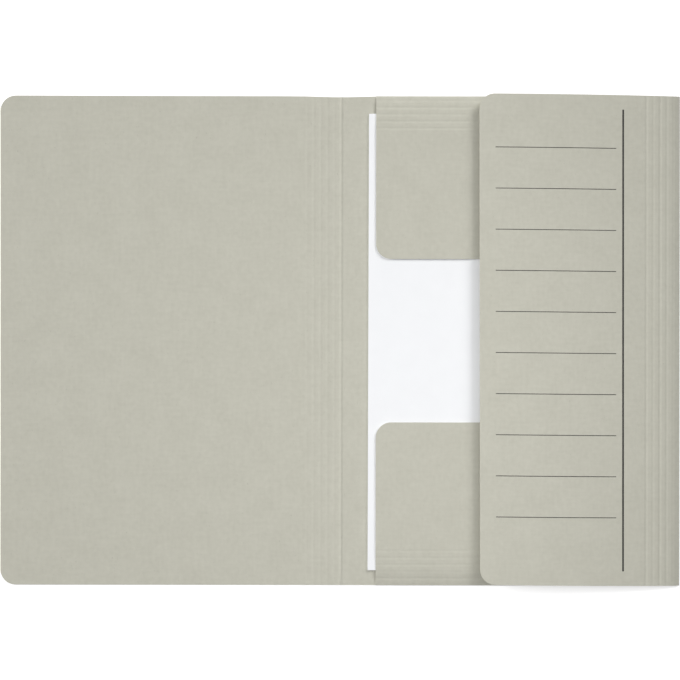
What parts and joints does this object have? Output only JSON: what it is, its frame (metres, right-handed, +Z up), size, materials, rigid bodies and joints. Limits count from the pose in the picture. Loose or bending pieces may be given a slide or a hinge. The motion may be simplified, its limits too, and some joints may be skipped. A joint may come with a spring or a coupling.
{
  "type": "three-flap folder",
  "caption": "Grey board document folder lying open: creased cover turned to the left, top and bottom flaps folded over a stack of paper and a ruled side flap over them.",
  "frame": {"origin": "on the table under the middle of the open folder's box", "axes": "+X from the open cover to the side flap, +Y up the sheet along the spine, +Z up from the table"},
  "size_m": [0.4918, 0.3546, 0.0078],
  "materials": {
    "board": "uncoated grey-beige folder board, matt, with faint fibre mottling",
    "paper": "plain white copy paper, matt"
  },
  "bodies": {
    "back_panel": {"back_panel": "board"},
    "spine_wall": {"spine_strip_1": "board", "spine_strip_2": "board"},
    "front_cover": {"spine_strip_3": "board", "spine_strip_4": "board", "spine_strip_5": "board", "front_cover": "board"},
    "top_wall": {"top_strip_1": "board"},
    "top_flap": {"top_strip_2": "board", "top_strip_3": "board", "top_strip_4": "board", "top_strip_5": "board", "top_flap": "board"},
    "bottom_wall": {"bottom_strip_1": "board"},
    "bottom_flap": {"bottom_strip_2": "board", "bottom_strip_3": "board", "bottom_strip_4": "board", "bottom_strip_5": "board", "bottom_flap": "board"},
    "side_wall": {"side_strip_1": "board"},
    "side_flap": {"side_strip_2": "board", "side_strip_3": "board", "side_strip_4": "board", "side_strip_5": "board", "side_flap": "board"},
    "paper_stack": {"paper_stack": "paper"}
  },
  "joints": [
    {"name": "cover_fold", "type": "hinge", "parent": "back_panel", "child": "spine_wall", "pos_m": [0.0006, 0, 0.0004], "axis": [0, 1, 0], "range_deg": [0, 90]},
    {"name": "spine_crease_3", "type": "hinge", "parent": "spine_wall", "child": "front_cover", "pos_m": [-0.0094, 0, 0.0004], "axis": [0, 1, 0], "range_deg": [0, 90]},
    {"name": "top_fold", "type": "hinge", "parent": "back_panel", "child": "top_wall", "pos_m": [0.1231, 0.177, 0.0004], "axis": [-1, 0, 0], "range_deg": [0, 165.02]},
    {"name": "top_crease_2", "type": "hinge", "parent": "top_wall", "child": "top_flap", "pos_m": [0.1231, 0.17217, 0.00169], "axis": [-1, 0, 0], "range_deg": [0, 12.19]},
    {"name": "bottom_fold", "type": "hinge", "parent": "back_panel", "child": "bottom_wall", "pos_m": [0.1231, -0.177, 0.0004], "axis": [1, 0, 0], "range_deg": [0, 165.02]},
    {"name": "bottom_crease_2", "type": "hinge", "parent": "bottom_wall", "child": "bottom_flap", "pos_m": [0.1231, -0.17217, 0.00169], "axis": [1, 0, 0], "range_deg": [0, 12.19]},
    {"name": "side_fold", "type": "hinge", "parent": "back_panel", "child": "side_wall", "pos_m": [0.2456, 0, 0.0004], "axis": [0, 1, 0], "range_deg": [0, 155.92]},
    {"name": "side_crease_2", "type": "hinge", "parent": "side_wall", "child": "side_flap", "pos_m": [0.24104, 0, 0.00244], "axis": [0, 1, 0], "range_deg": [0, 19.95]},
    {"name": "paper_slide", "type": "slide", "parent": "back_panel", "child": "paper_stack", "axis": [-1, 0, 0], "range_m": [-0.009, 0.018]}
  ],
  "couplings": [
    {"joint": "spine_crease_3", "follows": "cover_fold", "ratio": 1},
    {"joint": "top_fold", "follows": "side_fold", "ratio": 1.0584},
    {"joint": "top_crease_2", "follows": "side_fold", "ratio": 0.078163},
    {"joint": "bottom_fold", "follows": "side_fold", "ratio": 1.0584},
    {"joint": "bottom_crease_2", "follows": "side_fold", "ratio": 0.078163},
    {"joint": "side_crease_2", "follows": "side_fold", "ratio": 0.12795}
  ]
}
